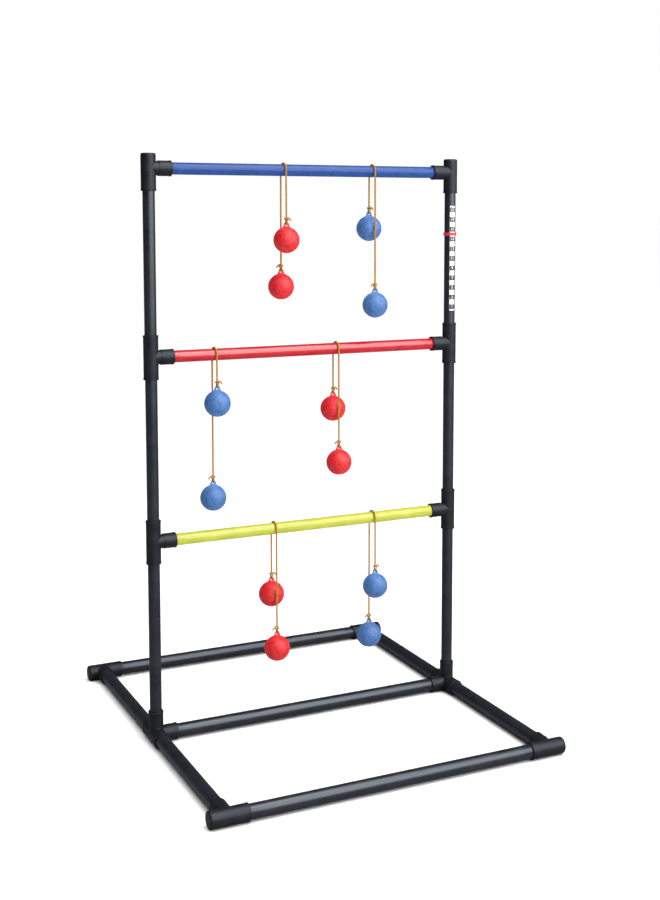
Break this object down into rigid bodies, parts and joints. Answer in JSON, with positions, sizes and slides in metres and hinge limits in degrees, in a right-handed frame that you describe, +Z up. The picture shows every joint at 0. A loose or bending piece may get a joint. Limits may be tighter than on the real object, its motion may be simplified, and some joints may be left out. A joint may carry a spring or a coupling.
{
  "type": "ladder toss frame",
  "caption": "Free-standing tube ladder on a flat tube base, with coloured rungs, a score scale and corded ball pairs hanging on the rungs.",
  "frame": {"origin": "middle of the base, on the ground that the base's fittings rest on", "axes": "+X along the rungs towards the post with the score scale, -Y the side that the scale faces, +Z up"},
  "size_m": [0.656, 0.7622, 1.05],
  "materials": {
    "black_tube": "satin",
    "black_fitting": "matte, finely textured",
    "blue_rung": "gloss",
    "red_rung": "gloss",
    "yellow_rung": "gloss",
    "scale_strip": "printed film",
    "red_marker": "satin",
    "red_ball": "pebbled, matte",
    "blue_ball": "pebbled, matte",
    "orange_cord": "braided"
  },
  "bodies": {
    "frame": {"rung_top_blue": "blue_rung", "rung_middle_red": "red_rung", "rung_bottom_yellow": "yellow_rung", "foot_left": "black_fitting", "post_lower_left": "black_tube", "tee_lower_left": "black_fitting", "post_middle_left": "black_tube", "tee_middle_left": "black_fitting", "post_upper_left": "black_tube", "tee_upper_left": "black_fitting", "foot_right": "black_fitting", "post_lower_right": "black_tube", "tee_lower_right": "black_fitting", "post_middle_right": "black_tube", "tee_middle_right": "black_fitting", "post_upper_right": "black_tube", "tee_upper_right": "black_fitting", "base_rail_front": "black_tube", "base_rail_middle": "black_tube", "base_rail_rear": "black_tube", "side_rail_front_left": "black_tube", "corner_front_left": "black_fitting", "side_rail_rear_left": "black_tube", "corner_rear_left": "black_fitting", "side_rail_front_right": "black_tube", "corner_front_right": "black_fitting", "side_rail_rear_right": "black_tube", "corner_rear_right": "black_fitting", "score_scale": "scale_strip"},
    "marker": {"score_marker": "red_marker"},
    "bola_top_left": {"bola_top_left_cord": "orange_cord", "bola_top_left_ball_upper": "red_ball", "bola_top_left_ball_lower": "red_ball", "bola_top_left_knots": "orange_cord"},
    "bola_top_right": {"bola_top_right_cord": "orange_cord", "bola_top_right_ball_upper": "blue_ball", "bola_top_right_ball_lower": "blue_ball", "bola_top_right_knots": "orange_cord"},
    "bola_middle_left": {"bola_middle_left_cord": "orange_cord", "bola_middle_left_ball_upper": "blue_ball", "bola_middle_left_ball_lower": "blue_ball", "bola_middle_left_knots": "orange_cord"},
    "bola_middle_right": {"bola_middle_right_cord": "orange_cord", "bola_middle_right_ball_upper": "red_ball", "bola_middle_right_ball_lower": "red_ball", "bola_middle_right_knots": "orange_cord"},
    "bola_bottom_left": {"bola_bottom_left_cord": "orange_cord", "bola_bottom_left_ball_upper": "red_ball", "bola_bottom_left_ball_lower": "red_ball", "bola_bottom_left_knots": "orange_cord"},
    "bola_bottom_right": {"bola_bottom_right_cord": "orange_cord", "bola_bottom_right_ball_upper": "blue_ball", "bola_bottom_right_ball_lower": "blue_ball", "bola_bottom_right_knots": "orange_cord"}
  },
  "joints": [
    {"name": "score_marker_slide", "type": "slide", "parent": "frame", "child": "marker", "axis": [0, 0, 1], "range_m": [-0.169, 0.075]},
    {"name": "bola_top_left_swing", "type": "hinge", "parent": "frame", "child": "bola_top_left", "pos_m": [-0.0475, 0, 1.024], "axis": [1, 0, 0], "range_deg": [-70, 70]},
    {"name": "bola_top_right_swing", "type": "hinge", "parent": "frame", "child": "bola_top_right", "pos_m": [0.131, 0, 1.024], "axis": [1, 0, 0], "range_deg": [-70, 70]},
    {"name": "bola_middle_left_swing", "type": "hinge", "parent": "frame", "child": "bola_middle_left", "pos_m": [-0.1815, 0, 0.6955], "axis": [1, 0, 0], "range_deg": [-70, 70]},
    {"name": "bola_middle_right_swing", "type": "hinge", "parent": "frame", "child": "bola_middle_right", "pos_m": [0.0565, 0, 0.6955], "axis": [1, 0, 0], "range_deg": [-70, 70]},
    {"name": "bola_bottom_left_swing", "type": "hinge", "parent": "frame", "child": "bola_bottom_left", "pos_m": [-0.0695, 0, 0.367], "axis": [1, 0, 0], "range_deg": [-70, 70]},
    {"name": "bola_bottom_right_swing", "type": "hinge", "parent": "frame", "child": "bola_bottom_right", "pos_m": [0.1325, 0, 0.367], "axis": [1, 0, 0], "range_deg": [-70, 70]}
  ]
}
